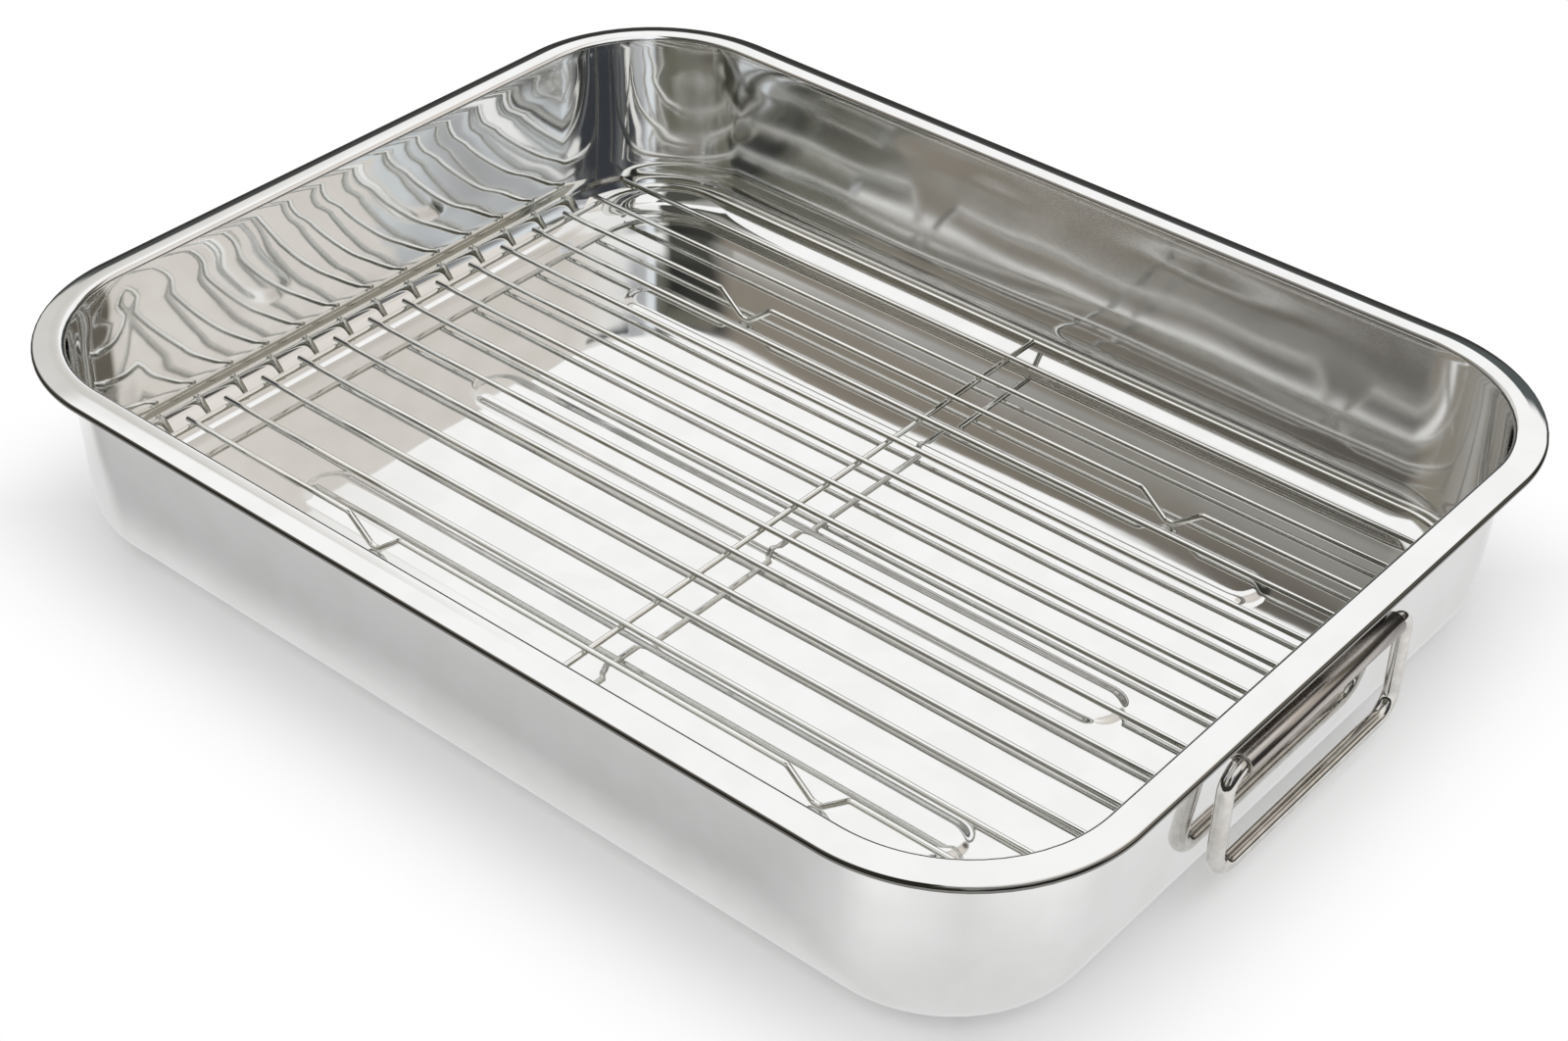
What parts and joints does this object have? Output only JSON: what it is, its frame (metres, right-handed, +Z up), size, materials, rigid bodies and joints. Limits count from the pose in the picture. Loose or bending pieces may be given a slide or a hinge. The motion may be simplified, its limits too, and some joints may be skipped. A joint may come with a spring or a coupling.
{
  "type": "roasting pan with rack",
  "caption": "Rectangular stainless steel roasting pan with rounded corners, flanged rim, ribbed base, drop handles at both ends and a loose footed wire rack.",
  "frame": {"origin": "middle of the pan's underside, on the surface that the pan stands on", "axes": "+X along the pan towards the right-hand handle, +Y across it to the back, +Z up"},
  "size_m": [0.4, 0.315, 0.0669],
  "materials": {
    "pan_steel": "bright polished stainless steel sheet, slightly wavy from pressing",
    "bracket_steel": "stainless steel strip, fine lengthwise draw lines, half bright",
    "handle_steel": "bright drawn stainless steel rod",
    "rack_steel": "bright stainless steel wire"
  },
  "bodies": {
    "pan": {"pan_body": "pan_steel", "handle_bracket_right": "bracket_steel", "handle_bracket_left": "bracket_steel"},
    "rack": {"rack_frame": "rack_steel", "rack_cross_bar": "rack_steel", "rack_foot_wire_back": "rack_steel", "rack_foot_wire_front": "rack_steel", "rack_wire_01": "rack_steel", "rack_wire_02": "rack_steel", "rack_wire_03": "rack_steel", "rack_wire_04": "rack_steel", "rack_wire_05": "rack_steel", "rack_wire_06": "rack_steel", "rack_wire_07": "rack_steel", "rack_wire_08": "rack_steel", "rack_wire_09": "rack_steel", "rack_wire_10": "rack_steel", "rack_wire_11": "rack_steel", "rack_wire_12": "rack_steel", "rack_wire_13": "rack_steel", "rack_wire_14": "rack_steel"},
    "handle_right": {"handle_bail_right": "handle_steel"},
    "handle_left": {"handle_bail_left": "handle_steel"}
  },
  "joints": [
    {"name": "rack_lift", "type": "slide", "parent": "pan", "child": "rack", "axis": [0, 0, 1], "range_m": [0, 0.1]},
    {"name": "handle_right_swing", "type": "hinge", "parent": "pan", "child": "handle_right", "pos_m": [0.19378, 0, 0.0456], "axis": [0, -1, 0], "range_deg": [-5, 150]},
    {"name": "handle_left_swing", "type": "hinge", "parent": "pan", "child": "handle_left", "pos_m": [-0.19378, 0, 0.0456], "axis": [0, 1, 0], "range_deg": [-5, 150]}
  ]
}
